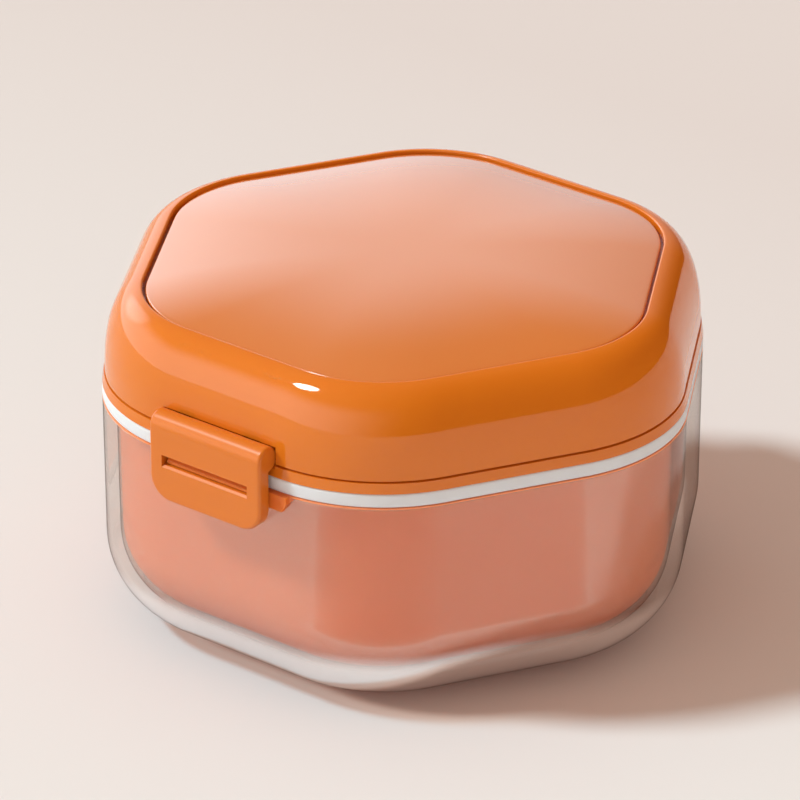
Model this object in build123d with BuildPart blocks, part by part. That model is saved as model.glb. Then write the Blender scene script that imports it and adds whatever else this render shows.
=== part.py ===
from build123d import *
from math import acos, asin, cos, degrees, radians, sin, tan
import os

os.makedirs("parts", exist_ok=True)

# A hinged case for dental aligners, in millimetres. It stands on z = 0 with the middle of its
# floor at the origin. The latch faces -Y, the hinge lies on +Y, and X is the left-right axis.
# Every storey has the same plan: a hexagon with rounded corners, drawn in parallel as it steps
# in, so one profile swept round that plan makes a wall, a ring or a shoulder.

# Plan
half_width = 42.0           # centre to a flat side, at the seal band
corner_radius = 24.0        # plan radius of the corners at that width
core_corner_radius = 1.0    # plan radius where the sweep ends and one flat plate fills the middle

# Outer shell
shell_height = 34.15        # outer edge of the rim
rim_seat_drop = 0.5         # the rim slopes down inwards by this much, as a seat for the cup
shell_wall = 2.0
shell_floor = 2.5
shell_draft = 0.4           # degrees, the way the wall leans in towards the floor
shell_bottom_radius = 12.8

# Inner cup
cup_shell_gap = 0.4         # air between the two walls
cup_lift = 1.5              # air between the two floors
cup_wall = 2.2
cup_floor = 2.0
cup_bottom_radius = 10.0
flange_edge = 0.25          # thickness of the flange where it shows under the seal
key_depth = 0.75            # keys that reach through notches in the shell's rim
key_side_gap = 0.15
upstand_height = 1.8        # short wall that the seal is stretched round
upstand_wall = 0.9
basket_step = 3.4           # depth of the seat for the basket below the flange's top

# Seal band
seal_height = 2.2
seal_width = 2.6
seal_edge_radius = 0.25
seal_clearance = 0.05       # round the upstand

# Drain basket
basket_clearance = 0.3      # round the rim of the basket
basket_wall_gap = 0.5       # between the walls of basket and cup
basket_rim_thickness = 1.2
basket_wall = 1.2
basket_floor = 1.2
basket_depth = 19.0         # seat to the underside of the basket
basket_bottom_radius = 8.0
basket_draft = 0.6          # degrees
drain_hole_diameter = 3.4
drain_pitch = 8.2
drain_rings = 2             # hexagonal rings of holes round the middle one
slot_width = 2.4
slot_length = 7.5
slots_per_side = 3
slot_pitch = 6.0
tab_width = 14.0
tab_height = 6.3            # above the basket's rim
tab_thickness = 1.4
tab_corner_radius = 4.0
tab_hole_diameter = 3.0

# Lid frame
frame_strip_height = 1.5    # plain strip that shows under the groove
frame_strip_lean = 0.25     # the strip leans in by this much
frame_width = 3.4
groove_height = 0.3
groove_depth = 0.75
tongue_height = 2.0
tongue_gap = 0.2

# Lid dome
dome_inset = 0.4            # its skirt stands in from the frame by this much
dome_wall = 1.8
shoulder_run = 5.6          # skirt to the rim round the top panel, in plan
shoulder_rise = 12.65       # skirt to that rim, in height
shoulder_power = 2.4        # 2 is an ellipse, more is a fuller shoulder
shoulder_points = 9
rim_slope = 8.0             # degrees, the slope where the shoulder ends
rim_edge_radius = 0.25
deck_thickness = 1.6

# Top panel
panel_seam_gap = 0.45
panel_sink = 0.45           # the panel's edge below the rim of the dome
panel_edge_height = 1.3
panel_edge_radius = 0.3
crown_run = 16.0            # edge to the level crown, in plan
crown_slope = 16.0          # degrees, the slope at the panel's edge
panel_thickness = 1.6
panel_rim_width = 2.5

# Mirror
mirror_half_width = 28.0
mirror_thickness = 1.5
mirror_pad_thickness = 0.4
mirror_pad_margin = 3.0     # pad to the edge of the mirror
bezel_width = 2.6
bezel_lip_reach = 0.8
bezel_lip_thickness = 0.5
bezel_clearance = 0.1

# Hinge
hinge_wall_gap = 0.4        # between the knuckles and the walls
knuckle_radius = 2.5
hinge_pin_radius = 1.0
running_clearance = 0.05    # radial, wherever a pin turns in a hole
lid_knuckle_width = 10.0
base_knuckle_width = 4.8
knuckle_side_gap = 0.25
bracket_drop = 2.8          # how far the base brackets hang below the flange's top
bracket_thickness = 1.4
pin_end_recess = 0.4

# Latch
latch_width = 20.0
latch_stand_off = 1.0       # wall to the rear face of the plate
latch_thickness = 2.0
latch_axis_rise = 2.8       # pin above the lid's lower edge
latch_drop = 8.2            # lower edge of the plate below the lid's lower edge
latch_corner_radius = 3.6
latch_edge_radius = 0.5
latch_pin_radius = 0.75
latch_pin_cover = 1.4       # plastic left at the blind end of the pin's hole
cove_clearance = 0.15       # round the latch barrel, in the lid
catch_slot_width = 15.5
catch_slot_height = 1.6
catch_slot_drop = 1.1       # top of the slot below the lid's lower edge
catch_slot_bevel = 0.3
lug_width = 2.8
lug_spacing = 12.0
lug_wall = 0.55
lug_neck_thickness = 1.2
lug_neck_angle = 300.0      # degrees in the YZ plane, from +Y towards +Z
neck_end_gap = 0.1          # end of a neck to the lid's lower edge
lug_side_gap = 0.2
lug_pocket_gap = 0.15
pocket_sector_start = -86.0
pocket_sector_end = 66.0

# Keeper on the cup's flange
keeper_left = 11.5          # middle to its left end, which the latch hides
keeper_right = 12.9
keeper_taper = 0.8          # each end leans in by this much
keeper_drop = 2.4           # below the seal band
keeper_thickness = 0.8
keeper_wall_gap = 0.04
nose_side_gap = 0.45        # nose to the ends of the latch's slot
nose_under_gap = 0.2        # nose to the lip of the latch that it holds
nose_height = 1.15
nose_reach = 1.5            # past the keeper's face
nose_ramp = 0.7
nose_seal_gap = 0.15

# Heights and widths that follow from those sizes
core_half_width = half_width - corner_radius + core_corner_radius
flange_top = shell_height + flange_edge
lid_bottom = flange_top + seal_height
strip_top = lid_bottom + frame_strip_height
skirt_bottom = strip_top + groove_height
seam_height = skirt_bottom + shoulder_rise
panel_edge_top = seam_height - panel_sink
deck_top = panel_edge_top - panel_edge_height
deck_bottom = deck_top - deck_thickness
cup_bottom = shell_floor + cup_lift
basket_seat = flange_top - basket_step
basket_bottom = basket_seat - basket_depth

shell_inner = half_width - shell_wall
cup_outer = shell_inner - cup_shell_gap
flange_root = shell_height - rim_seat_drop * (half_width - cup_outer) / shell_wall
key_bottom = shell_height - key_depth
cup_inner = cup_outer - cup_wall
seal_inner = half_width - seal_width
upstand_inner = seal_inner - upstand_wall
frame_inner = half_width - frame_width
skirt_outer = half_width - dome_inset
skirt_inner = skirt_outer - dome_wall
seam_half_width = skirt_outer - shoulder_run
panel_half_width = seam_half_width - panel_seam_gap

hinge_y = half_width + hinge_wall_gap + knuckle_radius
hinge_z = lid_bottom
latch_rear = half_width + latch_stand_off
latch_front = latch_rear + latch_thickness
latch_axis_z = lid_bottom + latch_axis_rise
latch_bottom = lid_bottom - latch_drop
catch_slot_top = lid_bottom - catch_slot_drop
catch_slot_bottom = catch_slot_top - catch_slot_height
lug_radius = latch_pin_radius + running_clearance + lug_wall

# The shoulder of the dome is a superellipse that leaves the skirt upright and ends at the rim with
# the slope given, with this share of its half width still to go
slope_share = tan(radians(rim_slope)) * shoulder_run / shoulder_rise
rim_share = slope_share
for _ in range(60):
    rise_share = (1 - rim_share**shoulder_power) / (1 - rim_share)
    rim_share = (slope_share * rise_share) ** (1 / (shoulder_power - 1))
shoulder_width = shoulder_run / (1 - rim_share)
shoulder_height = shoulder_rise / (1 - rim_share**shoulder_power) ** (1 / shoulder_power)
shoulder_centre = skirt_outer - shoulder_width

# The crown of the panel is an arc that starts at its own slope and ends level
crown_start = panel_half_width - crown_run
crown_radius = crown_run / sin(radians(crown_slope))
crown_top = panel_edge_top + crown_radius * (1 - cos(radians(crown_slope)))


def shoulder_curve(inset, rise):
    """Points of the shoulder, or of the face inset behind it, from the skirt up to a height."""
    width, height = shoulder_width - inset, shoulder_height - inset
    last = asin((rise / height) ** (shoulder_power / 2))
    angles = [last * step / (shoulder_points - 1) for step in range(shoulder_points)]
    return [
        (
            shoulder_centre + width * cos(angle) ** (2 / shoulder_power),
            skirt_bottom + height * sin(angle) ** (2 / shoulder_power),
        )
        for angle in angles
    ]


def plan(reach):
    """The rounded hexagon whose flat sides lie reach from the centre."""
    radius = max(corner_radius - (half_width - reach), 0.5)
    with BuildSketch(mode=Mode.PRIVATE) as outline:
        RegularPolygon(reach, 6, major_radius=False)
        fillet(outline.vertices(), radius)
    return outline.sketch


# The path of every swept profile: the plan at full width, one flat side and one corner at a time
flat_length = 2 * (half_width - corner_radius) * tan(radians(30))
corner_centre_reach = (half_width - corner_radius) / cos(radians(30))
with BuildLine() as plan_path:
    for side in range(6):
        facing = 90 - 60 * side
        corner = Vector(corner_centre_reach, 0).rotate(Axis.Z, facing - 30)
        last_corner = Vector(corner_centre_reach, 0).rotate(Axis.Z, facing + 30)
        outward = Vector(corner_radius, 0).rotate(Axis.Z, facing)
        Line(last_corner + outward, corner + outward)
        CenterArc(corner, corner_radius, facing, -60)
profile_plane = Plane.YZ.offset(-flat_length / 2)


def sweep_round():
    """Sweep the profile just drawn, as (reach, height) on the profile plane, once round the plan."""
    sweep(path=plan_path.wires()[0])


def plate(reach, bottom, thickness, mode=Mode.ADD):
    """A flat plate with the plan's outline."""
    with BuildSketch(Plane.XY.offset(bottom)) as outline:
        add(plan(reach))
    extrude(outline.sketch, amount=thickness, mode=mode)


def corner_near(sketch, reach, height):
    """The corner of a profile that lies nearest to a point."""
    return sketch.vertices().sort_by_distance((reach, height))[0]


def cut_latch_cove():
    """Clear the front of the lid round the latch's barrel."""
    with BuildSketch(Plane.YZ) as cove:
        with Locations((-latch_rear, latch_axis_z)):
            Circle(latch_thickness + cove_clearance)
    half_length = latch_width / 2 + cove_clearance
    extrude(cove.sketch, amount=half_length, both=True, mode=Mode.SUBTRACT)


def finish(piece, name):
    """Name a finished piece and write it."""
    piece.part.label = name
    export_step(piece.part, f"parts/{name}.step")


# Keys on the cup that carry the keeper and the two brackets of the hinge out through notches in
# the rim of the shell: from x, to x, and the side of the case
knuckle_offset = (lid_knuckle_width + base_knuckle_width) / 2 + knuckle_side_gap
key_reach_in = half_width - (cup_outer + upstand_inner) / 2
rim_keys = [
    (-keeper_left, keeper_right, -1),
    (-knuckle_offset - base_knuckle_width / 2, -knuckle_offset + base_knuckle_width / 2, 1),
    (knuckle_offset - base_knuckle_width / 2, knuckle_offset + base_knuckle_width / 2, 1),
]

# Outer shell: the clear tub, with a leaning wall, a wide rounding into its floor, a rim that
# slopes inwards as a seat for the cup, and the notches for the cup's keys
shell_lean = shell_height * tan(radians(shell_draft))
with BuildPart() as outer_shell:
    with BuildSketch(profile_plane) as shell_profile:
        with BuildLine():
            Polyline(
                (core_half_width, 0),
                (half_width - shell_lean, 0),
                (half_width, shell_height),
                (shell_inner, shell_height - rim_seat_drop),
                (shell_inner - shell_lean, shell_floor),
                (core_half_width, shell_floor),
                close=True,
            )
        make_face()
        fillet(corner_near(shell_profile, half_width - shell_lean, 0), shell_bottom_radius)
        fillet(
            corner_near(shell_profile, shell_inner - shell_lean, shell_floor),
            shell_bottom_radius - shell_wall,
        )
    sweep_round()
    plate(core_half_width, 0, shell_floor)
    for start_x, end_x, side in rim_keys:
        with BuildSketch(Plane.XY.offset(key_bottom)):
            with Locations(((start_x + end_x) / 2, side * half_width)):
                Rectangle(end_x - start_x + 2 * key_side_gap, 3 * shell_wall)
        extrude(amount=2 * key_depth, mode=Mode.SUBTRACT)
finish(outer_shell, "outer_shell")

# Inner cup: holds the water, hangs by its flange on the rim of the shell, and carries the seal,
# the keeper for the latch and the two outer knuckles of the hinge
cup_lean = (flange_top - cup_bottom) * tan(radians(shell_draft))
with BuildPart() as inner_cup:
    with BuildSketch(profile_plane) as cup_profile:
        with BuildLine():
            Polyline(
                (core_half_width, cup_bottom),
                (cup_outer - cup_lean, cup_bottom),
                (cup_outer, flange_root),
                (half_width, shell_height),
                (half_width, flange_top),
                (seal_inner, flange_top),
                (seal_inner, flange_top + upstand_height),
                (upstand_inner, flange_top + upstand_height),
                (upstand_inner, basket_seat),
                (cup_inner, basket_seat),
                (cup_inner - cup_lean, cup_bottom + cup_floor),
                (core_half_width, cup_bottom + cup_floor),
                close=True,
            )
        make_face()
        fillet(corner_near(cup_profile, cup_outer - cup_lean, cup_bottom), cup_bottom_radius)
        fillet(
            corner_near(cup_profile, cup_inner - cup_lean, cup_bottom + cup_floor),
            cup_bottom_radius - cup_floor,
        )
    sweep_round()
    plate(core_half_width, cup_bottom, cup_floor)

    # keeper: a plate over the outside of the shell, under the seal band, joined to the flange
    with BuildSketch(Plane.XZ.offset(half_width + keeper_wall_gap)):
        with BuildLine():
            Polyline(
                (-keeper_left, flange_top),
                (keeper_right, flange_top),
                (keeper_right, key_bottom),
                (keeper_right - keeper_taper, flange_top - keeper_drop),
                (keeper_taper - keeper_left, flange_top - keeper_drop),
                (-keeper_left, key_bottom),
                close=True,
            )
        make_face()
    extrude(amount=keeper_thickness - keeper_wall_gap)
    for start_x, end_x, side in rim_keys:
        with BuildSketch(Plane.XY.offset(key_bottom)):
            with Locations(((start_x + end_x) / 2, side * (half_width - key_reach_in))):
                Rectangle(
                    end_x - start_x, key_reach_in + keeper_thickness,
                    align=(Align.CENTER, Align.MIN if side > 0 else Align.MAX),
                )
        extrude(amount=flange_top - key_bottom)

    # nose: reaches into the latch's slot, with a ramp on top for the latch to ride over
    nose_bottom = catch_slot_bottom + nose_under_gap
    nose_tip = -(half_width + keeper_thickness + nose_reach)
    nose_root = -(half_width + nose_seal_gap)
    with BuildSketch(Plane.YZ) as nose_profile:
        with BuildLine():
            Polyline(
                (nose_root, nose_bottom),
                (nose_tip, nose_bottom),
                (nose_tip, nose_bottom + nose_height - nose_ramp),
                (nose_tip + nose_ramp, nose_bottom + nose_height),
                (nose_root, nose_bottom + nose_height),
                close=True,
            )
        make_face()
    extrude(amount=catch_slot_width / 2 - nose_side_gap, both=True)

    # outer knuckles: each on a bracket that hangs over the outside of the shell
    bracket_y = half_width + keeper_wall_gap
    for centre_x in (-knuckle_offset, knuckle_offset):
        with BuildSketch(Plane.YZ.offset(centre_x)):
            with Locations((hinge_y, hinge_z)):
                Circle(knuckle_radius)
            with BuildLine():
                Polyline(
                    (bracket_y, flange_top - bracket_drop),
                    (bracket_y + bracket_thickness, flange_top - bracket_drop),
                    (hinge_y + knuckle_radius * cos(radians(30)), hinge_z - knuckle_radius / 2),
                    (hinge_y, hinge_z),
                    (hinge_y - knuckle_radius, hinge_z - hinge_wall_gap),
                    (bracket_y, flange_top),
                    close=True,
                )
            make_face()
        extrude(amount=base_knuckle_width / 2, both=True)
    with BuildSketch(Plane.YZ):
        with Locations((hinge_y, hinge_z)):
            Circle(hinge_pin_radius)
    extrude(amount=2 * knuckle_offset, both=True, mode=Mode.SUBTRACT)
finish(inner_cup, "inner_cup")

# Seal band: the soft white ring that the lid closes on
with BuildPart() as seal_ring:
    with BuildSketch(profile_plane) as seal_profile:
        with Locations((half_width, flange_top)):
            Rectangle(seal_width - seal_clearance, seal_height, align=(Align.MAX, Align.MIN))
        for height in (flange_top, lid_bottom):
            fillet(corner_near(seal_profile, half_width, height), seal_edge_radius)
    sweep_round()
finish(seal_ring, "seal_ring")

# Drain basket: hangs by its rim in the cup, lets water through, and lifts out by two tabs
basket_rim_reach = upstand_inner - basket_clearance
basket_outer = cup_inner - basket_wall_gap
basket_inner = basket_outer - basket_wall
basket_lean = basket_depth * tan(radians(basket_draft))
basket_rim_top = basket_seat + basket_rim_thickness
basket_floor_top = basket_bottom + basket_floor
with BuildPart() as drain_basket:
    with BuildSketch(profile_plane) as basket_profile:
        with BuildLine():
            Polyline(
                (core_half_width, basket_bottom),
                (basket_outer - basket_lean, basket_bottom),
                (basket_outer, basket_seat),
                (basket_rim_reach, basket_seat),
                (basket_rim_reach, basket_rim_top),
                (basket_inner, basket_rim_top),
                (basket_inner - basket_lean, basket_floor_top),
                (core_half_width, basket_floor_top),
                close=True,
            )
        make_face()
        fillet(
            corner_near(basket_profile, basket_outer - basket_lean, basket_bottom),
            basket_bottom_radius,
        )
        fillet(
            corner_near(basket_profile, basket_inner - basket_lean, basket_floor_top),
            basket_bottom_radius - basket_floor,
        )
    sweep_round()
    plate(core_half_width, basket_bottom, basket_floor)

    # lifting tabs on the front and back sides
    for y_offset in (basket_inner, -basket_inner - tab_thickness):
        with BuildSketch(Plane.XZ.offset(y_offset)) as tab:
            with Locations((0, basket_rim_top + (tab_height - basket_rim_thickness) / 2)):
                Rectangle(tab_width, tab_height + basket_rim_thickness)
            fillet(tab.vertices().group_by(Axis.Y)[-1], tab_corner_radius)
            with Locations((0, basket_rim_top + tab_height / 2)):
                Circle(tab_hole_diameter / 2, mode=Mode.SUBTRACT)
        extrude(amount=tab_thickness)

    # drain holes: a hexagonal pattern in the floor
    with BuildSketch(Plane.XY.offset(basket_bottom)):
        for row in range(-drain_rings, drain_rings + 1):
            for column in range(-drain_rings, drain_rings + 1):
                if abs(row + column) <= drain_rings:
                    across = (column + row / 2) * drain_pitch
                    along = row * drain_pitch * sin(radians(60))
                    with Locations((across, along)):
                        Circle(drain_hole_diameter / 2)
    extrude(amount=basket_floor, mode=Mode.SUBTRACT)

    # upright slots in the flat walls, below the rim
    slot_centre = (basket_floor_top + basket_bottom_radius + basket_seat) / 2
    for side in range(3):
        with BuildSketch(Plane.XZ.rotated((0, 60 * side, 0))):
            with Locations((0, slot_centre)):
                with GridLocations(slot_pitch, 1, slots_per_side, 1):
                    SlotOverall(slot_length, slot_width, rotation=90)
        extrude(amount=basket_rim_reach, both=True, mode=Mode.SUBTRACT)
finish(drain_basket, "drain_basket")

# Hinge pin: pressed in the base knuckles, with the lid's knuckle turning on it
hinge_half_width = knuckle_offset + base_knuckle_width / 2
with BuildPart() as hinge_pin:
    with BuildSketch(Plane.YZ):
        with Locations((hinge_y, hinge_z)):
            Circle(hinge_pin_radius)
    extrude(amount=hinge_half_width - pin_end_recess, both=True)
finish(hinge_pin, "hinge_pin")

# Lid frame: the ring that meets the seal, plugs into the dome and carries both hinges of the lid
with BuildPart() as lid_frame:
    with BuildSketch(profile_plane):
        with BuildLine():
            Polyline(
                (frame_inner, lid_bottom),
                (half_width, lid_bottom),
                (half_width - frame_strip_lean, strip_top),
                (skirt_outer + frame_strip_lean - groove_depth, strip_top),
                (skirt_outer + frame_strip_lean - groove_depth, skirt_bottom),
                (skirt_inner - tongue_gap, skirt_bottom),
                (skirt_inner - tongue_gap, skirt_bottom + tongue_height),
                (frame_inner, skirt_bottom + tongue_height),
                close=True,
            )
        make_face()
    sweep_round()

    cut_latch_cove()

    # centre knuckle of the lid's hinge, on a web from the back of the strip
    with BuildSketch(Plane.YZ):
        with Locations((hinge_y, hinge_z)):
            Circle(knuckle_radius)
        with BuildLine():
            Polyline(
                (skirt_inner, lid_bottom + hinge_wall_gap),
                (hinge_y, hinge_z),
                (hinge_y, hinge_z + knuckle_radius),
                (half_width, strip_top),
                (skirt_inner, strip_top),
                close=True,
            )
        make_face()
    extrude(amount=lid_knuckle_width / 2, both=True)
    with BuildSketch(Plane.YZ):
        with Locations((hinge_y, hinge_z)):
            Circle(hinge_pin_radius + running_clearance)
    extrude(amount=lid_knuckle_width, both=True, mode=Mode.SUBTRACT)

    # two lugs for the latch's pin, each on a neck that comes up from the front of the strip
    neck_drop = latch_axis_rise - neck_end_gap - lug_neck_thickness / 2 * cos(radians(lug_neck_angle))
    neck_length = neck_drop / -sin(radians(lug_neck_angle))
    for centre_x in (-lug_spacing / 2, lug_spacing / 2):
        with BuildSketch(Plane.YZ.offset(centre_x)):
            with Locations((-latch_rear, latch_axis_z)):
                Circle(lug_radius)
                Rectangle(
                    neck_length, lug_neck_thickness,
                    rotation=lug_neck_angle, align=(Align.MIN, Align.CENTER),
                )
        extrude(amount=lug_width / 2, both=True)
    with BuildSketch(Plane.YZ):
        with Locations((-latch_rear, latch_axis_z)):
            Circle(latch_pin_radius + running_clearance)
    extrude(amount=latch_width / 2, both=True, mode=Mode.SUBTRACT)
finish(lid_frame, "lid_frame")

# Lid dome: skirt, full round shoulder, and the sunk deck that the top panel lies on
with BuildPart() as lid_dome:
    with BuildSketch(profile_plane) as dome_profile:
        with BuildLine():
            shoulder = Spline(*shoulder_curve(0, shoulder_rise))
            inside = Spline(*shoulder_curve(dome_wall, deck_bottom - skirt_bottom))
            Polyline(
                shoulder @ 1,
                (seam_half_width, deck_top),
                (core_half_width, deck_top),
                (core_half_width, deck_bottom),
                inside @ 1,
            )
            Line(shoulder @ 0, inside @ 0)
        make_face()
        fillet(corner_near(dome_profile, seam_half_width, seam_height), rim_edge_radius)
    sweep_round()
    plate(core_half_width, deck_bottom, deck_thickness)
    cut_latch_cove()
finish(lid_dome, "lid_dome")

# Top panel: a glossy pillow let into the dome, hollow under its crown
hollow_reach = panel_half_width - panel_rim_width
hollow_angle = degrees(acos((hollow_reach - crown_start) / (crown_radius - panel_thickness)))
with BuildPart() as top_panel:
    with BuildSketch(profile_plane) as panel_profile:
        with BuildLine():
            crown = CenterArc(
                (crown_start, crown_top - crown_radius), crown_radius, 90 - crown_slope, crown_slope
            )
            hollow = CenterArc(
                (crown_start, crown_top - crown_radius), crown_radius - panel_thickness,
                hollow_angle, 90 - hollow_angle,
            )
            Polyline(
                crown @ 1,
                (core_half_width, crown_top),
                (core_half_width, crown_top - panel_thickness),
                hollow @ 1,
            )
            Polyline(
                crown @ 0,
                (panel_half_width, deck_top),
                (hollow_reach, deck_top),
                hollow @ 0,
            )
        make_face()
        fillet(corner_near(panel_profile, panel_half_width, panel_edge_top), panel_edge_radius)
    sweep_round()
    plate(core_half_width, crown_top - panel_thickness, panel_thickness)
finish(top_panel, "top_panel")

# Mirror under the deck: an adhesive pad, the glass, and a bezel with a lip that covers its edge
mirror_top = deck_bottom - mirror_pad_thickness
mirror_bottom = mirror_top - mirror_thickness
with BuildPart() as mirror_pad:
    plate(mirror_half_width - mirror_pad_margin, mirror_top, mirror_pad_thickness)
finish(mirror_pad, "mirror_pad")

with BuildPart() as lid_mirror:
    plate(mirror_half_width, mirror_bottom, mirror_thickness)
finish(lid_mirror, "lid_mirror")

with BuildPart() as mirror_bezel:
    with BuildSketch(profile_plane):
        with BuildLine():
            Polyline(
                (mirror_half_width - bezel_lip_reach, mirror_bottom - bezel_lip_thickness),
                (mirror_half_width + bezel_width, mirror_bottom - bezel_lip_thickness),
                (mirror_half_width + bezel_width, deck_bottom),
                (mirror_half_width + bezel_clearance, deck_bottom),
                (mirror_half_width + bezel_clearance, mirror_bottom),
                (mirror_half_width - bezel_lip_reach, mirror_bottom),
                close=True,
            )
        make_face()
    sweep_round()
finish(mirror_bezel, "mirror_bezel")

# Latch: a plate that hangs from a barrel, with the slot that catches the keeper's nose
barrel_at = (-latch_rear, latch_axis_z)
with BuildPart() as latch:
    with BuildSketch(Plane.YZ):
        with Locations(barrel_at):
            Circle(latch_thickness)
        with Locations((-latch_front, latch_bottom)):
            Rectangle(
                latch_thickness, latch_axis_z - latch_bottom, align=(Align.MIN, Align.MIN)
            )
    extrude(amount=latch_width / 2, both=True)
    fillet(latch.edges().filter_by(Axis.Y).group_by(Axis.Z)[0], latch_corner_radius)
    front_face = latch.faces().filter_by(Plane.XZ).sort_by(Axis.Y)[0]
    fillet(front_face.edges().sort_by(Axis.Z)[:-1], latch_edge_radius)

    # slot for the keeper's nose, its lower edge bevelled for a fingernail
    with BuildSketch(Plane.XZ.offset(latch_rear)):
        with Locations((0, (catch_slot_top + catch_slot_bottom) / 2)):
            Rectangle(catch_slot_width, catch_slot_height)
    extrude(amount=latch_thickness, mode=Mode.SUBTRACT)
    with BuildSketch(Plane.YZ):
        with BuildLine():
            Polyline(
                (-latch_front, catch_slot_bottom),
                (-latch_front, catch_slot_bottom - catch_slot_bevel),
                (-latch_front + catch_slot_bevel, catch_slot_bottom),
                close=True,
            )
        make_face()
    extrude(amount=catch_slot_width / 2, both=True, mode=Mode.SUBTRACT)

    # pockets in the barrel that clear the lugs from closed to fully open
    pocket_reach = 1.6 * latch_thickness
    pocket_middle = (pocket_sector_start + pocket_sector_end) / 2
    for centre_x in (-lug_spacing / 2, lug_spacing / 2):
        with BuildSketch(Plane.YZ.offset(centre_x)):
            with Locations(barrel_at):
                Circle(lug_radius + lug_pocket_gap)
                Polygon(
                    (0, 0),
                    *(
                        Vector(pocket_reach, 0).rotate(Axis.Z, angle)
                        for angle in (pocket_sector_start, pocket_middle, pocket_sector_end)
                    ),
                    align=None,
                )
        extrude(amount=lug_width / 2 + lug_side_gap, both=True, mode=Mode.SUBTRACT)

    # blind hole for the pin, open at the left end
    with BuildSketch(Plane.YZ.offset(-latch_width / 2)):
        with Locations(barrel_at):
            Circle(latch_pin_radius)
    extrude(amount=latch_width - latch_pin_cover, mode=Mode.SUBTRACT)
finish(latch, "latch")

# Latch pin: pressed in the latch, turning in the two lugs of the lid frame
with BuildPart() as latch_pin:
    with BuildSketch(Plane.YZ.offset(pin_end_recess - latch_width / 2)):
        with Locations(barrel_at):
            Circle(latch_pin_radius)
    extrude(amount=latch_width - latch_pin_cover - pin_end_recess)
finish(latch_pin, "latch_pin")
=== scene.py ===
import bmesh
import bpy
import math
from mathutils import Matrix, Vector


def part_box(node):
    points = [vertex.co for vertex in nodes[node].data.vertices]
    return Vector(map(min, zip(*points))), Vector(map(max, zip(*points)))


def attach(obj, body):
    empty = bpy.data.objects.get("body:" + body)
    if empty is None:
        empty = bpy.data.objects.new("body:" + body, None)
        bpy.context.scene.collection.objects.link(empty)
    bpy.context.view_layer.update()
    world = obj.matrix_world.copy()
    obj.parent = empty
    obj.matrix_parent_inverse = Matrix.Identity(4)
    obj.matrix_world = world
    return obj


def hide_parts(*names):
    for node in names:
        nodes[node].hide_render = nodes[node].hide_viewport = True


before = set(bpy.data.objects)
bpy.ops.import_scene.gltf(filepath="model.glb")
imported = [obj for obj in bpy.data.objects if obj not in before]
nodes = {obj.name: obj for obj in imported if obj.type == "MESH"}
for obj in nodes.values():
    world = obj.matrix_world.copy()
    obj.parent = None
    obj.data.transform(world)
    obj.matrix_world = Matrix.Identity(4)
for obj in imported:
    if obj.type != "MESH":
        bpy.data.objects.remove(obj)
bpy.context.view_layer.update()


# Outer shell: the clear tub that the case stands on.
# It is injection-moulded in clear styrene-acrylonitrile, polished outside and lightly frosted on
# the floor inside, with a thick wall that turns into that floor through a wide rounding.
MM = 0.001
half_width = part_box("seal_ring")[1].y / MM      # centre to a flat side of the hexagon, at the band
corner_radius = 24.0                            # plan radius of its corners there
plan_sides = 6
corner_steps = 64
path_steps = 336
core_reach = 19.0           # inside this a flat plate fills the ring
shell_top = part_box("outer_shell")[1].z / MM
shell_wall = 2.0
shell_floor = 2.5
shell_draft = 0.4           # degrees
shell_lean = shell_top * math.tan(math.radians(shell_draft))
shell_bottom_radius = 12.8
rim_seat_drop = 0.5         # the rim slopes in, as a seat for the cup
rim_radius = 0.12
notch_bottom = 33.4         # notches in the rim for the cup's keys
notch_height = 2.0
notches_in_rim = ((-11.65, 13.05, -1), (-10.2, -5.1, 1), (5.1, 10.2, 1))    # from x, to x, side
arc_steps = 5               # at least, in a rounding of an outline, and two more per millimetre
edge_angle = 32.0           # degrees between faces, past which an edge is shaded sharp


def linear(hex_colour):
    """An sRGB hex colour as linear light."""
    values = [int(hex_colour[i:i + 2], 16) / 255 for i in (1, 3, 5)]
    return [v / 12.92 if v <= 0.04045 else ((v + 0.055) / 1.055) ** 2.4 for v in values] + [1.0]


def node(tree, kind, inputs=None, **settings):
    """Add a node with its settings, values and links. A value that is a socket is linked."""
    made = tree.nodes.new(kind)
    for name, value in settings.items():
        setattr(made, name, value)
    for name, value in (inputs or {}).items():
        if isinstance(value, bpy.types.NodeSocket):
            tree.links.new(value, made.inputs[name])
        else:
            made.inputs[name].default_value = value
    return made


def new_material(name):
    """An empty node material: the material, its tree and the tree's output."""
    material = bpy.data.materials.new(name)
    material.use_nodes = True
    material.node_tree.nodes.clear()
    return material, material.node_tree, node(material.node_tree, "ShaderNodeOutputMaterial")


def rounded(corners):
    """The points of an outline whose corners are (reach, height, radius), in millimetres."""
    points = []
    for i, (reach, height, radius) in enumerate(corners):
        corner = Vector((reach, height))
        if not radius:
            points.append(corner)
            continue
        back = (Vector(corners[i - 1][:2]) - corner).normalized()
        ahead = (Vector(corners[(i + 1) % len(corners)][:2]) - corner).normalized()
        half_angle = back.angle(ahead) / 2
        centre = corner + (back + ahead).normalized() * radius / math.sin(half_angle)
        first = (corner + back * radius / math.tan(half_angle) - centre).normalized()
        last = (corner + ahead * radius / math.tan(half_angle) - centre).normalized()
        steps = arc_steps + round(2 * radius)
        points += [centre + first.slerp(last, k / steps) * radius for k in range(steps + 1)]
    return points


def new_tree(name, inputs):
    """A Geometry Nodes tree with named inputs and one geometry output, and its input node."""
    tree = bpy.data.node_groups.new(name, "GeometryNodeTree")
    for socket, kind in inputs.items():
        tree.interface.new_socket(socket, in_out="INPUT", socket_type="NodeSocket" + kind)
    tree.interface.new_socket("Piece", in_out="OUTPUT", socket_type="NodeSocketGeometry")
    return tree, node(tree, "NodeGroupInput")


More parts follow.
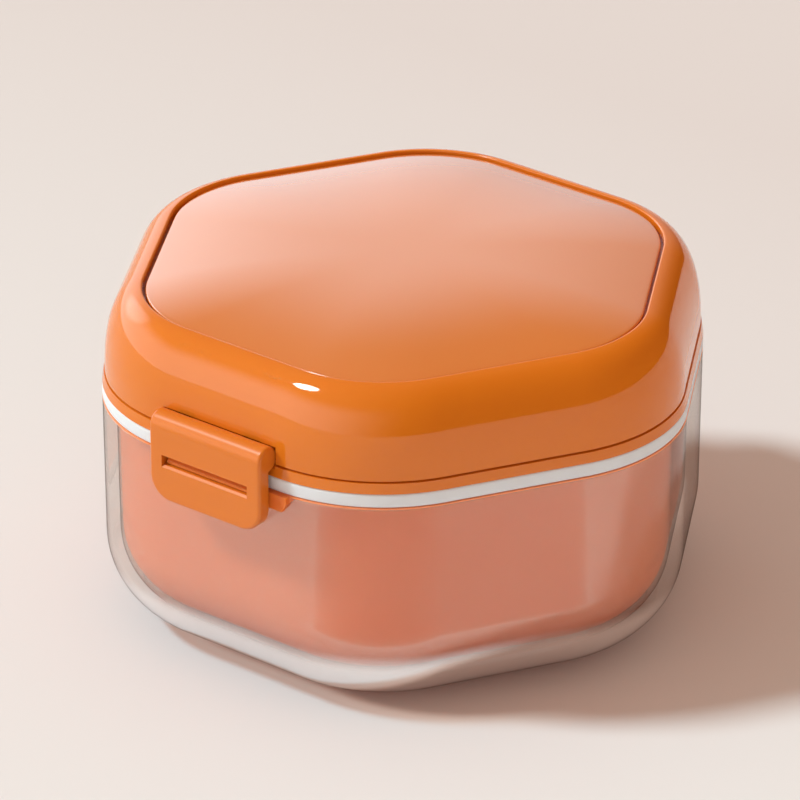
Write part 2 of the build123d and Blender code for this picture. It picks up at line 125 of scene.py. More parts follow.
def plan_path(tree, given):
    """The rounded hexagon as a curve of even steps, in a tree with the plan's sizes as inputs."""
    corner_reach = node(tree, "ShaderNodeMath", {
        0: given.outputs["Half width"], 1: math.cos(math.pi / plan_sides),
    }, operation="DIVIDE")
    hexagon = node(tree, "GeometryNodeCurvePrimitiveCircle", {
        "Resolution": plan_sides, "Radius": corner_reach.outputs[0],
    })
    corners = node(tree, "GeometryNodeFilletCurve", {
        "Curve": hexagon.outputs["Curve"], "Count": corner_steps,
        "Radius": given.outputs["Corner radius"],
    }, mode="POLY")
    even = node(tree, "GeometryNodeResampleCurve", {
        "Curve": corners.outputs[0], "Count": given.outputs["Steps"],
    }, mode="COUNT")
    return node(tree, "GeometryNodeSetCurveNormal", {"Curve": even.outputs[0]}, mode="Z_UP")


def end_tree(tree, given, geometry):
    """Realize what the tree made, give it its finish and lead it out."""
    real = node(tree, "GeometryNodeRealizeInstances", {"Geometry": geometry})
    finished = node(tree, "GeometryNodeSetMaterial", {
        "Geometry": real.outputs[0], "Material": given.outputs["Finish"],
    })
    node(tree, "NodeGroupOutput", {0: finished.outputs[0]})


# The tree that every ring and wall of the case is made with: a profile carried round the hexagon
round_plan, given = new_tree("profile round the plan", {
    "Profile": "Geometry", "Half width": "Float", "Corner radius": "Float", "Steps": "Int",
    "Finish": "Material",
})
profile_curve = node(round_plan, "GeometryNodeMeshToCurve", {"Mesh": given.outputs["Profile"]})
ring = node(round_plan, "GeometryNodeCurveToMesh", {
    "Curve": plan_path(round_plan, given).outputs[0], "Profile Curve": profile_curve.outputs[0],
})
end_tree(round_plan, given, ring.outputs[0])


def run_tree(made, tree, values):
    """Put a tree on an object, set its inputs, and keep the result as a plain mesh."""
    modifier = made.modifiers.new(tree.name, "NODES")
    modifier.node_group = tree
    for socket in tree.interface.items_tree:
        if socket.in_out == "INPUT" and socket.name in values:
            modifier[socket.identifier] = values[socket.name]
    apply_modifiers(made)


def apply_modifiers(made):
    """Turn an object's modifiers into its mesh."""
    depsgraph = bpy.context.evaluated_depsgraph_get()
    result = bpy.data.meshes.new_from_object(made.evaluated_get(depsgraph), depsgraph=depsgraph)
    made.modifiers.clear()
    made.data = result


def close_plates(made):
    """Fill the openings that a sweep round the core leaves, each with one flat plate."""
    shape = bmesh.new()
    shape.from_mesh(made.data)
    bmesh.ops.holes_fill(shape, edges=[e for e in shape.edges if e.is_boundary], sides=0)
    shape.to_mesh(made.data)
    shape.free()


def smooth(made):
    """Face a mesh outwards and shade it smooth, apart from its real edges."""
    shape = bmesh.new()
    shape.from_mesh(made.data)
    bmesh.ops.recalc_face_normals(shape, faces=shape.faces)
    shape.to_mesh(made.data)
    shape.free()
    made.data.polygons.foreach_set("use_smooth", [True] * len(made.data.polygons))
    made.data.set_sharp_from_angle(angle=math.radians(edge_angle))


def moulding(name, profile, finish, closed=True, tree=round_plan, **sizes):
    """A piece swept round the plan. An open profile ends at the core, where a plate fills it."""
    count = len(profile)
    lines = [(i, (i + 1) % count) for i in range(count if closed else count - 1)]
    outline = bpy.data.meshes.new(name)
    # a swept profile hangs upside down from its path, so its heights go in as depths
    outline.from_pydata(
        [((reach - half_width) * MM, -height * MM, 0) for reach, height in profile], lines, [],
    )
    made = bpy.data.objects.new(name, outline)
    bpy.context.scene.collection.objects.link(made)
    run_tree(made, tree, {
        "Half width": half_width * MM, "Corner radius": corner_radius * MM,
        "Steps": path_steps, "Finish": finish, **sizes,
    })
    if not closed:
        close_plates(made)
    smooth(made)
    return made


def cut_away(made, shape):
    """Take a solid, given as a bmesh, out of a piece."""
    cutter = bpy.data.objects.new("cutter", bpy.data.meshes.new("cutter"))
    bpy.context.scene.collection.objects.link(cutter)
    bmesh.ops.recalc_face_normals(shape, faces=shape.faces)
    shape.to_mesh(cutter.data)
    shape.free()
    taken = made.modifiers.new("cut", "BOOLEAN")
    taken.operation = "DIFFERENCE"
    taken.solver = "EXACT"
    taken.object = cutter
    apply_modifiers(made)
    bpy.data.objects.remove(cutter)
    smooth(made)


# Clear styrene-acrylonitrile, polished: what lies behind it shows straight through the thin wall,
# with a painted dark line, painted shade where the wall is seen edge on, and its skin mirrors the
# room as glass does
clear_san, tree, output = new_material("clear_san_polished")
foot_start, foot_end = 4.0, 12.0        # heights between which the thick foot thins into the wall
# painted shade: a dark line where the wall is seen edge on, on what shows through and on its skin
painted_edge_shade = linear("#55342A")
frost_colour = linear("#F3ECE7")
edge_on = node(tree, "ShaderNodeLayerWeight", {"Blend": 0.5})
edge_share = node(tree, "ShaderNodeMath", {
    0: edge_on.outputs["Facing"], 1: 11.0,
}, operation="POWER")
place = node(tree, "ShaderNodeTexCoord")
up = node(tree, "ShaderNodeSeparateXYZ", {0: place.outputs["Object"]})
on_wall = node(tree, "ShaderNodeMapRange", {
    "Value": up.outputs["Z"], "From Min": foot_start * MM, "From Max": foot_end * MM,
}, interpolation_type="SMOOTHSTEP")
body = node(tree, "ShaderNodeMix", {
    0: on_wall.outputs[0], 6: linear("#FCF8F5"), 7: linear("#F9F4F0"),
}, data_type="RGBA")
depth = node(tree, "ShaderNodeMix", {
    0: edge_share.outputs[0], 6: body.outputs[2], 7: painted_edge_shade,
}, data_type="RGBA")
through = node(tree, "ShaderNodeBsdfTransparent", {"Color": depth.outputs[2]})
# the skin's reflection takes the same painted dark line where the wall is seen edge on
skin_with_painted_edge = node(tree, "ShaderNodeMix", {
    0: edge_share.outputs[0], 6: linear("#FFFFFF"), 7: painted_edge_shade,
}, data_type="RGBA")
skin = node(tree, "ShaderNodeBsdfAnisotropic", {"Color": skin_with_painted_edge.outputs[2], "Roughness": 0.02})

# which way the wall faces, the same from inside the plastic as from outside
surface = node(tree, "ShaderNodeNewGeometry")
turn_back = node(tree, "ShaderNodeMath", {
    0: surface.outputs["Backfacing"], 1: -2.0, 2: 1.0,
}, operation="MULTIPLY_ADD")
facing_up = node(tree, "ShaderNodeMath", {
    0: node(tree, "ShaderNodeSeparateXYZ", {0: surface.outputs["Normal"]}).outputs["Z"],
    1: turn_back.outputs[0],
}, operation="MULTIPLY")

# the skin of the wall mirrors a little of the room, and the wide rounding under it, which bends
# the sight down in the real tub, mirrors the floor in front of it
gloss = node(tree, "ShaderNodeFresnel", {"IOR": 1.5})
most_gloss = node(tree, "ShaderNodeMapRange", {
    "Value": on_wall.outputs[0], "To Min": 0.1, "To Max": 0.3,
})
wall_gloss = node(tree, "ShaderNodeMath", {
    0: gloss.outputs[0], 1: most_gloss.outputs[0],
}, operation="MINIMUM")
facing_down = node(tree, "ShaderNodeMapRange", {
    "Value": facing_up.outputs[0], "From Min": -0.1, "From Max": -0.4, "To Max": 0.9,
}, interpolation_type="SMOOTHSTEP")
from_outside = node(tree, "ShaderNodeMath", {
    0: 1.0, 1: surface.outputs["Backfacing"],
}, operation="SUBTRACT")
rounding_gloss = node(tree, "ShaderNodeMath", {
    0: facing_down.outputs[0], 1: from_outside.outputs[0],
}, operation="MULTIPLY")
mirrored = node(tree, "ShaderNodeMath", {
    0: wall_gloss.outputs[0], 1: rounding_gloss.outputs[0],
}, operation="MAXIMUM")
polished = node(tree, "ShaderNodeMixShader", {
    0: mirrored.outputs[0], 1: through.outputs[0], 2: skin.outputs[0],
})

# the floor of the tub is lightly frosted inside, which shows from under it as well
frosting = node(tree, "ShaderNodeMapRange", {
    "Value": facing_up.outputs[0], "From Min": 0.25, "From Max": 0.9, "To Max": 0.35,
}, interpolation_type="SMOOTHSTEP")
frost = node(tree, "ShaderNodeMixShader", {
    0: surface.outputs["Backfacing"],
    1: node(tree, "ShaderNodeBsdfDiffuse", {"Color": frost_colour}).outputs[0],
    2: node(tree, "ShaderNodeBsdfTranslucent", {"Color": frost_colour}).outputs[0],
})
clear = node(tree, "ShaderNodeMixShader", {
    0: frosting.outputs[0], 1: polished.outputs[0], 2: frost.outputs[0],
})

# it lets light through to the cup and the floor, dimmed and warmed most in the thick foot
shade = node(tree, "ShaderNodeMix", {
    0: on_wall.outputs[0], 6: linear("#DEC4B9"), 7: linear("#F4EDE9"),
}, data_type="RGBA")
letting_through = node(tree, "ShaderNodeBsdfTransparent", {"Color": shade.outputs[2]})
light_path = node(tree, "ShaderNodeLightPath")
casting = node(tree, "ShaderNodeMath", {
    0: light_path.outputs["Is Shadow Ray"], 1: light_path.outputs["Is Diffuse Ray"],
}, operation="MAXIMUM")
both = node(tree, "ShaderNodeMixShader", {
    0: casting.outputs[0], 1: clear.outputs[0], 2: letting_through.outputs[0],
})
tree.links.new(both.outputs[0], output.inputs["Surface"])

shell = moulding("clear_tub", rounded([
    (core_reach, 0, 0),
    (half_width - shell_lean, 0, shell_bottom_radius),
    (half_width, shell_top, rim_radius),
    (half_width - shell_wall, shell_top - rim_seat_drop, rim_radius),
    (half_width - shell_wall - shell_lean, shell_floor, shell_bottom_radius - shell_wall),
    (core_reach, shell_floor, 0),
]), clear_san, closed=False)
notches = bmesh.new()
for start, end, side in notches_in_rim:
    bmesh.ops.create_cube(notches, matrix=Matrix.LocRotScale(
        Vector(((start + end) / 2, side * half_width, notch_bottom + notch_height / 2)) * MM, None,
        Vector((end - start, 3 * shell_wall, notch_height)) * MM,
    ))
cut_away(shell, notches)
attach(shell, "base")
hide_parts("outer_shell")


# Inner cup: the translucent orange cup that holds the water, hung by its flange in the clear tub,
# with the keeper for the latch and the two outer knuckles of the hinge on the same moulding.
# It is polypropylene from a spark-eroded tool, so the light goes soft in it and the skin is matt.
def finish_node(name, material):
    """Give a CAD node its finish."""
    if not nodes[name].material_slots:
        nodes[name].data.materials.append(material)
    for held in nodes[name].material_slots:
        held.material = material


frosted_pp, tree, output = new_material("frosted_polypropylene")
place = node(tree, "ShaderNodeTexCoord")
clouds = node(tree, "ShaderNodeTexNoise", {
    "Vector": place.outputs["Object"], "Scale": 1 / (18 * MM), "Detail": 2.0,
})
# the cup's orange, clouded at random and painted lighter, as painted light for what the clear wall
# dims
clouded_tone_painted_light = node(tree, "ShaderNodeMix", {
    0: clouds.outputs["Fac"], 6: linear("#FA9263"), 7: linear("#F68C5C"),
}, data_type="RGBA")
# the keeper and the knuckles stand out past the clear wall and keep the plastic's own deeper orange;
# # inside the wall the orange is painted lighter, painted light that makes up for what the wall dims
past_wall_from, past_wall_to = half_width - 0.4, half_width + 0.2
sideways = node(tree, "ShaderNodeSeparateXYZ", {0: place.outputs["Object"]})
reach_out = node(tree, "ShaderNodeMath", {0: sideways.outputs["Y"]}, operation="ABSOLUTE")
past_wall = node(tree, "ShaderNodeMapRange", {
    "Value": reach_out.outputs[0], "From Min": past_wall_from * MM, "From Max": past_wall_to * MM,
})
tone_with_painted_light = node(tree, "ShaderNodeMix", {
    0: past_wall.outputs[0], 6: clouded_tone_painted_light.outputs[2], 7: linear("#E0701F"),
}, data_type="RGBA")
sparks = node(tree, "ShaderNodeTexNoise", {
    "Vector": place.outputs["Object"], "Scale": 1 / (0.5 * MM), "Detail": 3.0,
})
grain = node(tree, "ShaderNodeBump", {
    "Strength": 0.12, "Distance": 0.03 * MM, "Height": sparks.outputs["Fac"],
})
frosted = node(tree, "ShaderNodeBsdfPrincipled", {
    "Base Color": tone_with_painted_light.outputs[2], "Roughness": 0.48, "IOR": 1.49,
    "Subsurface Weight": 0.35, "Subsurface Radius": (1.0, 0.45, 0.25), "Subsurface Scale": 3 * MM,
    "Normal": grain.outputs["Normal"],
})
tree.links.new(frosted.outputs[0], output.inputs["Surface"])
finish_node("inner_cup", frosted_pp)


# Seal band: a white silicone ring, stretched round the cup's upstand and squeezed by the lid.
# Silicone from a matt tool is soft to the eye, with almost no highlight and rounded edges.
seal_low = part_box("seal_ring")[0].z / MM
seal_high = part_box("seal_ring")[1].z / MM
seal_width = 2.55
seal_edge = 0.45

silicone, tree, output = new_material("white_silicone_rubber")
place = node(tree, "ShaderNodeTexCoord")
bloom = node(tree, "ShaderNodeTexNoise", {
    "Vector": place.outputs["Object"], "Scale": 1 / (3 * MM), "Detail": 4.0,
})
dullness = node(tree, "ShaderNodeMapRange", {
    "Value": bloom.outputs["Fac"], "To Min": 0.45, "To Max": 0.62,
})
milk = node(tree, "ShaderNodeMix", {
    0: bloom.outputs["Fac"], 6: linear("#E0E2E5"), 7: linear("#DBDDE0"),
}, data_type="RGBA")
rubber = node(tree, "ShaderNodeBsdfPrincipled", {
    "Base Color": milk.outputs[2], "Roughness": dullness.outputs[0], "IOR": 1.41,
    "Subsurface Weight": 0.3, "Subsurface Radius": (1.0, 0.9, 0.8), "Subsurface Scale": 1.2 * MM,
})
tree.links.new(rubber.outputs[0], output.inputs["Surface"])

seal = moulding("seal_band", rounded([
    (half_width - seal_width, seal_low, 0),
    (half_width, seal_low, seal_edge),
    (half_width, seal_high, seal_edge),
    (half_width - seal_width, seal_high, 0),
]), silicone)
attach(seal, "base")
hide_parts("seal_ring")


# Drain basket: a white polypropylene strainer that hangs by its rim in the cup and lifts out by
# two tabs, moulded with a fine satin skin.
white_pp, tree, output = new_material("white_polypropylene_satin")
place = node(tree, "ShaderNodeTexCoord")
flow = node(tree, "ShaderNodeTexNoise", {
    "Vector": place.outputs["Object"], "Scale": 1 / (9 * MM), "Detail": 3.0,
})
whites = node(tree, "ShaderNodeMix", {
    0: flow.outputs["Fac"], 6: linear("#F4F1EC"), 7: linear("#ECE8E1"),
}, data_type="RGBA")
satin = node(tree, "ShaderNodeMapRange", {
    "Value": flow.outputs["Fac"], "To Min": 0.3, "To Max": 0.42,
})
basket_skin = node(tree, "ShaderNodeBsdfPrincipled", {
    "Base Color": whites.outputs[2], "Roughness": satin.outputs[0], "IOR": 1.49,
    "Subsurface Weight": 0.15, "Subsurface Radius": (1.0, 0.9, 0.8), "Subsurface Scale": 1 * MM,
})
tree.links.new(basket_skin.outputs[0], output.inputs["Surface"])
finish_node("drain_basket", white_pp)


# Hinge pin and latch pin: cut lengths of drawn stainless wire, pressed in the outer knuckles and
# in the latch. Drawing leaves fine lines along the wire.
drawn_steel, tree, output = new_material("drawn_stainless_wire")
place = node(tree, "ShaderNodeTexCoord")
along = node(tree, "ShaderNodeMapping", {
    "Vector": place.outputs["Object"], "Scale": (0.02, 1.0, 1.0),
})
lines = node(tree, "ShaderNodeTexNoise", {
    "Vector": along.outputs[0], "Scale": 1 / (0.15 * MM), "Detail": 2.0,
})
drawn = node(tree, "ShaderNodeMapRange", {
    "Value": lines.outputs["Fac"], "To Min": 0.18, "To Max": 0.38,
})
wire = node(tree, "ShaderNodeBsdfPrincipled", {
    "Base Color": linear("#C9C6C1"), "Metallic": 1.0, "Roughness": drawn.outputs[0],
})
tree.links.new(wire.outputs[0], output.inputs["Surface"])
for pin in ("hinge_pin", "latch_pin"):
    finish_node(pin, drawn_steel)


# Lid frame: the orange ring that meets the seal, plugs into the dome above it, and carries the
# middle knuckle of the hinge and the lugs of the latch. Gloss ABS, the same shot as the dome.
glaze_limit = 0.75          # the most that a glaze mirrors, at the edge of the sight


def gloss_abs(name, light, deep, roughness, glaze=0.0):
    """Moulded ABS with the gloss that its tool leaves, or under a glaze that mirrors more."""
    material, tree, output = new_material(name)
    place = node(tree, "ShaderNodeTexCoord")
    flow = node(tree, "ShaderNodeTexNoise", {
        "Vector": place.outputs["Object"], "Scale": 1 / (30 * MM), "Detail": 2.0,
    })
    pigment = node(tree, "ShaderNodeMix", {
        0: flow.outputs["Fac"], 6: linear(light), 7: linear(deep),
    }, data_type="RGBA")
    skin = node(tree, "ShaderNodeTexNoise", {
        "Vector": place.outputs["Object"], "Scale": 1 / (1.2 * MM), "Detail": 2.0,
    })
    wear = node(tree, "ShaderNodeMapRange", {
        "Value": skin.outputs["Fac"], "To Min": 0.9 * roughness, "To Max": 1.1 * roughness,
    })
    peel = node(tree, "ShaderNodeBump", {
        "Strength": 0.02, "Distance": 0.02 * MM, "Height": skin.outputs["Fac"],
    })
    shader = node(tree, "ShaderNodeBsdfPrincipled", {
        "Base Color": pigment.outputs[2], "Roughness": wear.outputs[0], "IOR": 1.52,
        "Subsurface Weight": 0.08, "Subsurface Radius": (1.0, 0.4, 0.15),
        "Subsurface Scale": 1.5 * MM, "Normal": peel.outputs["Normal"],
    })
    surface = shader
    if glaze:
        shader.inputs["Specular IOR Level"].default_value = 0.0
        coat = node(tree, "ShaderNodeBsdfAnisotropic", {
            "Color": linear("#FFFFFF"), "Roughness": wear.outputs[0],
        })
        gloss = node(tree, "ShaderNodeFresnel", {"IOR": 1.5})
        raised = node(tree, "ShaderNodeMath", {0: gloss.outputs[0], 1: glaze}, operation="MULTIPLY")
        mirrored = node(tree, "ShaderNodeMath", {
            0: raised.outputs[0], 1: glaze_limit,
        }, operation="MINIMUM")
        surface = node(tree, "ShaderNodeMixShader", {
            0: mirrored.outputs[0], 1: shader.outputs[0], 2: coat.outputs[0],
        })
    tree.links.new(surface.outputs[0], output.inputs["Surface"])
    return material


lid_abs = gloss_abs("gloss_abs_lid", "#DD781F", "#D97318", 0.05)
finish_node("lid_frame", lid_abs)


# Lid dome: skirt, full round shoulder and the sunk deck that the top panel is let into.
# One thin-walled moulding with a cove at the front that clears the barrel of the latch.
skirt_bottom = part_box("lid_dome")[0].z / MM
skirt_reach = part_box("lid_dome")[1].y / MM
dome_wall = 1.8
shoulder_run = 5.6          # skirt to the rim round the panel
shoulder_rise = 12.65
shoulder_power = 2.4        # 2 is an ellipse, more is fuller
rim_slope = 8.0             # degrees, where the shoulder ends
rim_edge = 0.25
shoulder_steps, inner_steps = 56, 40
deck_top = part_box("top_panel")[0].z / MM
deck_thickness = 1.6
cove_clearance = 0.15
barrel_radius = 2.0
cove_radius = barrel_radius + cove_clearance
cove_sides = 96
latch_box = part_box("latch")
rim_height = skirt_bottom + shoulder_rise

# The shoulder is part of a superellipse that would go on to level. Its half width and height are
# found by turns, so that it has its run, its rise and its slope where the rim ends it.
solver_turns = 60
slope_share = math.tan(math.radians(rim_slope)) * shoulder_run / shoulder_rise
left_share = slope_share    # of the half width, still to go at the rim
for _ in range(solver_turns):
    rise_share = (1 - left_share ** shoulder_power) / (1 - left_share)
    left_share = (slope_share * rise_share) ** (1 / (shoulder_power - 1))
shoulder_width = shoulder_run / (1 - left_share)
shoulder_height = shoulder_rise / (1 - left_share ** shoulder_power) ** (1 / shoulder_power)


def shoulder(inset, rise, steps):
    """Points up the dome's shoulder, or up its inner face, to a height above the skirt."""
    width, height = shoulder_width - inset, shoulder_height - inset
    last = math.asin((rise / height) ** (shoulder_power / 2))
    angles = [last * k / steps for k in range(steps + 1)]
    return [Vector((
        skirt_reach - shoulder_width + width * math.cos(angle) ** (2 / shoulder_power),
        skirt_bottom + height * math.sin(angle) ** (2 / shoulder_power),
    )) for angle in angles]


outside = shoulder(0, shoulder_rise, shoulder_steps)
inside = shoulder(dome_wall, deck_top - deck_thickness - skirt_bottom, inner_steps)
# the last two steps up the shoulder give way to the rounding of its rim
rim_wall = rounded([
    (outside[-3].x, outside[-3].y, 0), (outside[-1].x, outside[-1].y, rim_edge),
    (outside[-1].x, deck_top, 0),
])
dome = moulding("lid_dome_shell", [
    Vector((core_reach, deck_top)), *reversed(rim_wall), *reversed(outside[:-3]), *inside,
    Vector((core_reach, deck_top - deck_thickness)),
], lid_abs, closed=False)
cove = bmesh.new()
bmesh.ops.create_cone(
    cove, cap_ends=True, segments=cove_sides, radius1=cove_radius * MM, radius2=cove_radius * MM,
    depth=latch_box[1].x - latch_box[0].x + 2 * cove_clearance * MM,
    matrix=Matrix.Translation((
        0, latch_box[0].y + barrel_radius * MM, latch_box[1].z - barrel_radius * MM,
    )) @ Matrix.Rotation(math.radians(90), 4, "Y"),
)
cut_away(dome, cove)
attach(dome, "lid")
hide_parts("lid_dome")


# Top panel: a separate pillow-shaped cap, let into the dome with a hairline seam all round.
# It is moulded in a mirror-polished tool and glazed, so it carries the clearest reflection.
panel_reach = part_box("top_panel")[1].y / MM
panel_sink = 0.45           # its edge below the rim of the dome
crown_rise = 2.45
crown_power = 3.0           # how late the crown falls towards its edge
crown_rows = 72
panel_edge = 0.3
edge_run = 4 * panel_edge   # from its side to where the crown takes over
weld_distance = 0.01

# The crown is a sheet of rows drawn from its edge in to its middle, each higher than the last
pillow, given = new_tree("pillow crown", {
    "Rim": "Geometry", "Half width": "Float", "Corner radius": "Float", "Steps": "Int",
    "Inset": "Float", "Rows": "Int", "Seam": "Float", "Rise": "Float", "Power": "Float",
    "Finish": "Material",
})
path = plan_path(pillow, given)
inward = node(pillow, "ShaderNodeVectorMath", {
    0: node(pillow, "GeometryNodeInputNormal").outputs["Normal"], "Scale": given.outputs["Inset"],
}, operation="SCALE")
edge_line = node(pillow, "GeometryNodeSetPosition", {
    "Geometry": path.outputs[0], "Offset": inward.outputs[0],
})
columns = node(pillow, "ShaderNodeMath", {0: given.outputs["Steps"], 1: 1.0}, operation="ADD")
sheet = node(pillow, "GeometryNodeMeshGrid", {
    "Size X": 1.0, "Size Y": 1.0, "Vertices X": columns.outputs[0],
    "Vertices Y": given.outputs["Rows"],
})
here = node(pillow, "ShaderNodeSeparateXYZ", {
    0: node(pillow, "GeometryNodeInputPosition").outputs[0],
})
around = node(pillow, "ShaderNodeMath", {0: here.outputs["X"], 1: 0.5}, operation="ADD")
outward = node(pillow, "ShaderNodeMath", {0: here.outputs["Y"], 1: 0.5}, operation="ADD")
column = node(pillow, "ShaderNodeMath", {
    0: around.outputs[0], 1: given.outputs["Steps"], 2: 0.5,
}, operation="MULTIPLY_ADD")
wrapped = node(pillow, "ShaderNodeMath", {
    0: column.outputs[0], 1: given.outputs["Steps"],
}, operation="MODULO")
step = node(pillow, "ShaderNodeMath", {0: wrapped.outputs[0]}, operation="FLOOR")
edge_point = node(pillow, "GeometryNodeSampleIndex", {
    "Geometry": edge_line.outputs[0], "Index": step.outputs[0],
}, data_type="FLOAT_VECTOR", domain="POINT")
pillow.links.new(
    node(pillow, "GeometryNodeInputPosition").outputs[0],
    next(s for s in edge_point.inputs if s.name == "Value" and s.enabled),
)
drawn_in = node(pillow, "ShaderNodeVectorMath", {
    0: next(s for s in edge_point.outputs if s.enabled), "Scale": outward.outputs[0],
}, operation="SCALE")
fall = node(pillow, "ShaderNodeMath", {
    0: outward.outputs[0], 1: given.outputs["Power"],
}, operation="POWER")
left = node(pillow, "ShaderNodeMath", {0: 1.0, 1: fall.outputs[0]}, operation="SUBTRACT")
height = node(pillow, "ShaderNodeMath", {
    0: left.outputs[0], 1: given.outputs["Rise"], 2: given.outputs["Seam"],
}, operation="MULTIPLY_ADD")
lifted = node(pillow, "ShaderNodeCombineXYZ", {"Z": height.outputs[0]})
placed = node(pillow, "ShaderNodeVectorMath", {
    0: drawn_in.outputs[0], 1: lifted.outputs[0],
}, operation="ADD")
crown = node(pillow, "GeometryNodeSetPosition", {
    "Geometry": sheet.outputs["Mesh"], "Position": placed.outputs[0],
})
rim = node(pillow, "GeometryNodeCurveToMesh", {
    "Curve": path.outputs[0],
    "Profile Curve": node(pillow, "GeometryNodeMeshToCurve", {0: given.outputs["Rim"]}).outputs[0],
})
joined = node(pillow, "GeometryNodeJoinGeometry")
pillow.links.new(crown.outputs[0], joined.inputs[0])
pillow.links.new(rim.outputs[0], joined.inputs[0])
welded = node(pillow, "GeometryNodeMergeByDistance", {
    "Geometry": joined.outputs[0], "Distance": weld_distance * MM,
})
end_tree(pillow, given, welded.outputs[0])

panel_abs = gloss_abs("glazed_abs_panel", "#DE7E30", "#DA792B", 0.12, glaze=2.4)
edge_slope = crown_power * crown_rise / panel_reach
edge_top = rim_height - panel_sink
panel_rim = rounded([
    (core_reach, deck_top, 0), (panel_reach, deck_top, 0), (panel_reach, edge_top, panel_edge),
    (panel_reach - edge_run, edge_top + edge_run * edge_slope, 0),
])[:-1]
crown_edge = panel_rim[-1]
panel = moulding(
    "glossy_top_panel", panel_rim, panel_abs, closed=False, tree=pillow, Power=crown_power,
    Inset=(crown_edge.x - half_width) * MM, Rows=crown_rows, Seam=crown_edge.y * MM,
    Rise=(edge_top + crown_rise - crown_edge.y) * MM,
)
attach(panel, "lid")
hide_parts("top_panel")


# Mirror: a sheet of silvered glass on a pad of foam tape, held under the deck of the lid by a white
# bezel that snaps in round it. Wiping leaves a faint haze on the glass, and the tape shows the fine
# pits of its cells.
mirror_glass, tree, output = new_material("silvered_glass")
place = node(tree, "ShaderNodeTexCoord")
haze = node(tree, "ShaderNodeTexNoise", {
    "Vector": place.outputs["Object"], "Scale": 1 / (14 * MM), "Detail": 5.0,
})
smear = node(tree, "ShaderNodeMapRange", {
    "Value": haze.outputs["Fac"], "To Min": 0.01, "To Max": 0.05,
})
silver = node(tree, "ShaderNodeBsdfPrincipled", {
    "Base Color": linear("#E8ECEC"), "Metallic": 1.0, "Roughness": smear.outputs[0],
    "Coat Weight": 1.0, "Coat Roughness": 0.01,
})
tree.links.new(silver.outputs[0], output.inputs["Surface"])
finish_node("lid_mirror", mirror_glass)
finish_node("mirror_bezel", white_pp)

foam, tree, output = new_material("white_foam_tape")
place = node(tree, "ShaderNodeTexCoord")
cells = node(tree, "ShaderNodeTexVoronoi", {
    "Vector": place.outputs["Object"], "Scale": 1 / (0.4 * MM),
})
pits = node(tree, "ShaderNodeBump", {
    "Strength": 0.4, "Distance": 0.1 * MM, "Height": cells.outputs["Distance"],
})
tape = node(tree, "ShaderNodeBsdfPrincipled", {
    "Base Color": linear("#E4E2DD"), "Roughness": 0.9, "Normal": pits.outputs["Normal"],
})
tree.links.new(tape.outputs[0], output.inputs["Surface"])
finish_node("mirror_pad", foam)


# Latch: the orange plate that hangs from its barrel on the lid and snaps over the keeper's nose.
# Moulded ABS in a satin tool, a shade duller than the dome.
latch_abs = gloss_abs("satin_abs_latch", "#DA761E", "#D6711A", 0.3)
finish_node("latch", latch_abs)


# Floor: a sheet of warm white paper board, matt with a trace of sheen, that the case stands on.
# Its colour is painted darker towards the back, as painted shade where the light falls off.
floor_reach = 4.0                       # metres
fade_from, fade_to = -20.0, 160.0       # millimetres along Y
board, tree, output = new_material("warm_white_board")
place = node(tree, "ShaderNodeTexCoord")
across = node(tree, "ShaderNodeSeparateXYZ", {0: place.outputs["Object"]})
# painted shade: the board's colour darkens along Y towards the back, where the light falls off
painted_falloff = node(tree, "ShaderNodeMapRange", {
    "Value": across.outputs["Y"], "From Min": fade_from * MM, "From Max": fade_to * MM,
})
paper_with_painted_falloff = node(tree, "ShaderNodeMix", {
    0: painted_falloff.outputs[0], 6: linear("#E3E4E3"), 7: linear("#D8D2CF"),
}, data_type="RGBA")
matt = node(tree, "ShaderNodeBsdfPrincipled", {
    "Base Color": paper_with_painted_falloff.outputs[2], "Roughness": 0.8, "IOR": 1.2,
})
tree.links.new(matt.outputs[0], output.inputs["Surface"])
floor = bpy.data.objects.new("floor", bpy.data.meshes.new("floor"))
floor.data.from_pydata(
    [(x * floor_reach, y * floor_reach, 0) for x, y in ((-1, -1), (1, -1), (1, 1), (-1, 1))],
    [], [(0, 1, 2, 3)],
)
floor.data.materials.append(board)
bpy.context.scene.collection.objects.link(floor)


# Light: one lamp high on the left, and a pale room. For glossy faces the room has a bright wall on
# the left, with a window in it, that fades out behind the case and overhead. For the rest it is an
# even fill, neutral low down and warm overhead.
def towards(azimuth, elevation):
    """The direction from the case to a place in the room, in degrees from +X and from the floor."""
    turn, climb = math.radians(azimuth), math.radians(elevation)
    level = math.cos(climb)
    return Vector((math.cos(turn) * level, math.sin(turn) * level, math.sin(climb)))


key = bpy.data.objects.new("key", bpy.data.lights.new("key", "SUN"))
key.data.energy = 2.72
key.data.angle = math.radians(9.0)
key.data.color = linear("#E8FAFF")[:3]
key.visible_glossy = False
key.visible_transmission = False
key.rotation_mode = "QUATERNION"
key.rotation_quaternion = (-towards(218.9, 46.9)).to_track_quat("-Z", "Y")
bpy.context.scene.collection.objects.link(key)

# the lamp's own reflection: a white disc, 15 degrees across, that only glossy faces see
lit_shoulder = Vector((12, -38, 50))    # where the lid shows it
glint_distance = 1.2                    # metres from there
glint = bpy.data.objects.new("glint", bpy.data.lights.new("glint", "POINT"))
glint.data.energy = 30.0
glint.data.shadow_soft_size = 155 * MM
glint.location = lit_shoulder * MM + towards(225.0, 53.0) * glint_distance
glint.visible_diffuse = False
glint.visible_transmission = False
bpy.context.scene.collection.objects.link(glint)

world = bpy.data.worlds.new("room")
bpy.context.scene.world = world
world.use_nodes = True
sky = world.node_tree
sky.nodes.clear()
around_room = node(sky, "ShaderNodeTexCoord")


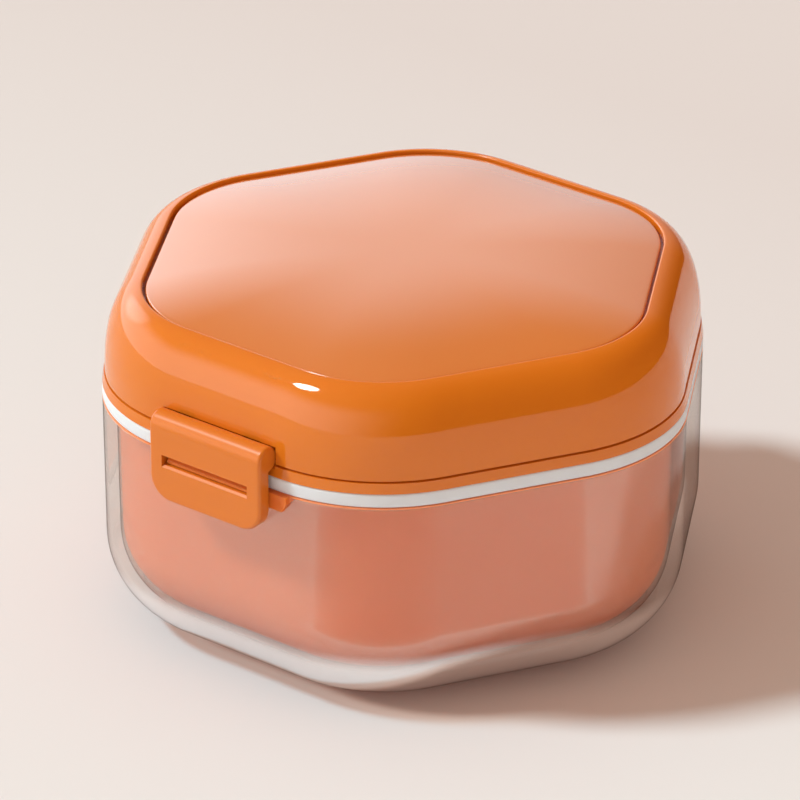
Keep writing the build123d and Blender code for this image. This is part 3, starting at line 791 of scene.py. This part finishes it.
def glow(direction, edge, core, strength):
    """Light that grows from the edge angle to the core angle round a direction in the room."""
    nearness = node(sky, "ShaderNodeVectorMath", {
        0: around_room.outputs["Generated"], 1: direction,
    }, operation="DOT_PRODUCT")
    return node(sky, "ShaderNodeMapRange", {
        "Value": nearness.outputs["Value"], "From Min": math.cos(math.radians(edge)),
        "From Max": math.cos(math.radians(core)), "To Min": 0.0, "To Max": strength,
    }, interpolation_type="SMOOTHSTEP").outputs[0]


height = node(sky, "ShaderNodeSeparateXYZ", {0: around_room.outputs["Generated"]})
elevation = node(sky, "ShaderNodeMath", {0: height.outputs["Z"]}, operation="ARCSINE")
wall_end = node(sky, "ShaderNodeMapRange", {
    "Value": elevation.outputs[0], "From Min": math.radians(20), "From Max": math.radians(42),
    "To Min": 1.0, "To Max": 0.18,
}, interpolation_type="SMOOTHSTEP")
wall_glow = node(sky, "ShaderNodeMath", {
    0: wall_end.outputs[0], 1: glow(towards(208, 12), 115, 0, 2.3),
}, operation="MULTIPLY")
with_window = node(sky, "ShaderNodeMath", {
    0: wall_glow.outputs[0], 1: glow(towards(170, 23), 17, 8, 1.6),
}, operation="ADD")
room_shine = node(sky, "ShaderNodeBackground", {
    "Color": linear("#F2F5FA"), "Strength": with_window.outputs[0],
})
overhead = node(sky, "ShaderNodeMapRange", {
    "Value": elevation.outputs[0], "From Min": 0.0, "From Max": math.radians(45),
}, interpolation_type="SMOOTHSTEP")
warm_above = node(sky, "ShaderNodeMix", {
    0: overhead.outputs[0], 6: linear("#EFEDE2"), 7: linear("#BA9581"),
}, data_type="RGBA")
room_fill = node(sky, "ShaderNodeBackground", {"Color": warm_above.outputs[2], "Strength": 1.12})
seen_by = node(sky, "ShaderNodeLightPath")
room = node(sky, "ShaderNodeMixShader", {
    0: seen_by.outputs["Is Diffuse Ray"], 1: room_shine.outputs[0], 2: room_fill.outputs[0],
})
node(sky, "ShaderNodeOutputWorld", {"Surface": room.outputs[0]})
bpy.context.scene.view_settings.view_transform = "Standard"


# Camera: a long lens from above the front right corner of the case, as the photograph was framed.
# It stands so far off that upright edges stay nearly upright.
camera = bpy.data.objects.new("camera", bpy.data.cameras.new("camera"))
camera.data.lens = 266.6
camera.data.sensor_width = 36.0
camera.data.clip_end = 20.0
camera.location = (0.47594, -0.60038, 0.41465)
camera.rotation_mode = "QUATERNION"
camera.rotation_quaternion = Vector((-0.55547, 0.69935, -0.44985)).to_track_quat("-Z", "Y")
bpy.context.scene.collection.objects.link(camera)
bpy.context.scene.camera = camera
